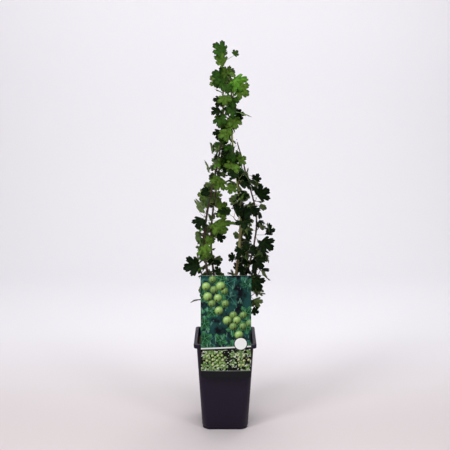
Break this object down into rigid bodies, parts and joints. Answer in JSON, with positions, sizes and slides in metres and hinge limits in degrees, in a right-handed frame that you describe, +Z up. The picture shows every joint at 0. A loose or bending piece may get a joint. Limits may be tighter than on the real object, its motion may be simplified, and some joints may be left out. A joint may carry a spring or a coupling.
{
  "type": "gooseberry bush",
  "caption": "Young gooseberry bush in a tall tapered square nursery pot, its thin bowed stems gathered into a slender column of lobed leaves, with a picture label hooked over the rim.",
  "frame": {"origin": "middle of the pot's flat underside", "axes": "+Z up along the bush, -Y the front, where the picture label hangs, +X to the right seen from the front"},
  "size_m": [0.2306, 0.1874, 0.9328],
  "materials": {
    "pot_plastic": "satin black moulded plastic",
    "soil": "moist dark compost, rough and crumbly",
    "label_card": "coated picture card, plain paper on the back",
    "crown_bark": "rough greyish brown bark",
    "stem_bark": "thin reddish to greyish brown bark",
    "foliage": "thin leathery leaves, slightly glossy above and paler beneath"
  },
  "bodies": {
    "root": {"pot": "pot_plastic", "soil": "soil", "label_card": "label_card", "crown": "crown_bark", "stem_left": "stem_bark", "stem_left_low": "stem_bark", "stem_left_back": "stem_bark", "stem_right_back": "stem_bark", "stem_right": "stem_bark", "stem_right_low": "stem_bark", "stem_front": "stem_bark", "foliage_left_1": "foliage", "foliage_left_2": "foliage", "foliage_left_3": "foliage", "foliage_left_4": "foliage", "foliage_left_5": "foliage", "foliage_left_6": "foliage", "foliage_left_7": "foliage", "foliage_left_low_1": "foliage", "foliage_left_low_2": "foliage", "foliage_left_low_3": "foliage", "foliage_left_back_1": "foliage", "foliage_left_back_2": "foliage", "foliage_left_back_3": "foliage", "foliage_left_back_4": "foliage", "foliage_left_back_5": "foliage", "foliage_left_back_6": "foliage", "foliage_right_back_1": "foliage", "foliage_right_back_2": "foliage", "foliage_right_back_3": "foliage", "foliage_right_back_4": "foliage", "foliage_right_back_5": "foliage", "foliage_right_back_6": "foliage", "foliage_right_back_7": "foliage", "foliage_right_1": "foliage", "foliage_right_2": "foliage", "foliage_right_3": "foliage", "foliage_right_4": "foliage", "foliage_right_5": "foliage", "foliage_right_6": "foliage", "foliage_right_low_1": "foliage", "foliage_right_low_2": "foliage", "foliage_right_low_3": "foliage", "foliage_front_1": "foliage", "foliage_front_2": "foliage", "foliage_front_3": "foliage", "foliage_front_4": "foliage", "foliage_front_5": "foliage", "foliage_front_6": "foliage", "foliage_front_7": "foliage"}
  },
  "joints": []
}
